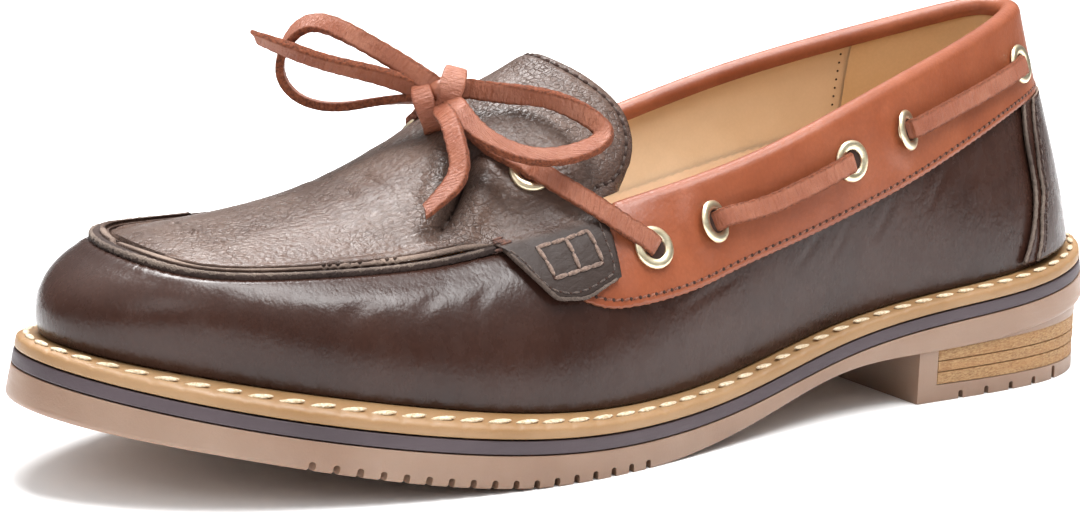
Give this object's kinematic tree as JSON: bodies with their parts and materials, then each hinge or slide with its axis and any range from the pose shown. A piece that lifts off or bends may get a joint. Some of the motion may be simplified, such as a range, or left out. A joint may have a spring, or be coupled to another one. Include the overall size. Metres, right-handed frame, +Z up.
{
  "type": "slip-on shoe",
  "caption": "Left leather slip-on shoe with a moccasin apron and tongue, a laced collar band tied in a bow, a stitched welt and a low stacked heel.",
  "frame": {"origin": "centre of the shoe's own box, without the free lace, on the floor that it stands on", "axes": "+X to the toe, +Y to the outer side of a left foot, +Z up"},
  "size_m": [0.2728, 0.095, 0.0906],
  "materials": {
    "brown_leather": "smooth semi-gloss dark brown grain leather",
    "pebbled_leather": "pebbled grey-brown leather",
    "tan_leather": "smooth cognac leather",
    "lace_leather": "flat cognac leather thong, raw edges",
    "gum_rubber": "satin gum rubber",
    "dark_midsole": "matte dark purple-brown",
    "honey_welt": "satin honey welt with cream stitching",
    "stacked_leather": "sanded leather board in layers",
    "insole_leather": "matte tan lining leather",
    "pale_gold": "polished pale gold"
  },
  "bodies": {
    "root": {"apron_tongue": "pebbled_leather", "collar_band": "tan_leather", "eyelet_inner_0": "pale_gold", "eyelet_inner_1": "pale_gold", "eyelet_inner_2": "pale_gold", "eyelet_inner_3": "pale_gold", "eyelet_inner_4": "pale_gold", "eyelet_inner_5": "pale_gold", "eyelet_outer_0": "pale_gold", "eyelet_outer_1": "pale_gold", "eyelet_outer_2": "pale_gold", "eyelet_outer_3": "pale_gold", "eyelet_outer_4": "pale_gold", "eyelet_outer_5": "pale_gold", "heel_lift_1": "stacked_leather", "heel_lift_2": "stacked_leather", "heel_lift_3": "stacked_leather", "heel_strip": "brown_leather", "insole": "insole_leather", "lace_end_back": "lace_leather", "lace_end_front": "lace_leather", "lace_inner_0": "lace_leather", "lace_inner_1": "lace_leather", "lace_inner_2": "lace_leather", "lace_inner_4": "lace_leather", "lace_knot": "lace_leather", "lace_loop_back": "lace_leather", "lace_loop_front": "lace_leather", "lace_outer_0": "lace_leather", "lace_outer_1": "lace_leather", "lace_outer_2": "lace_leather", "lace_outer_4": "lace_leather", "midsole": "dark_midsole", "outsole": "gum_rubber", "upper": "brown_leather", "welt": "honey_welt"}
  },
  "joints": []
}
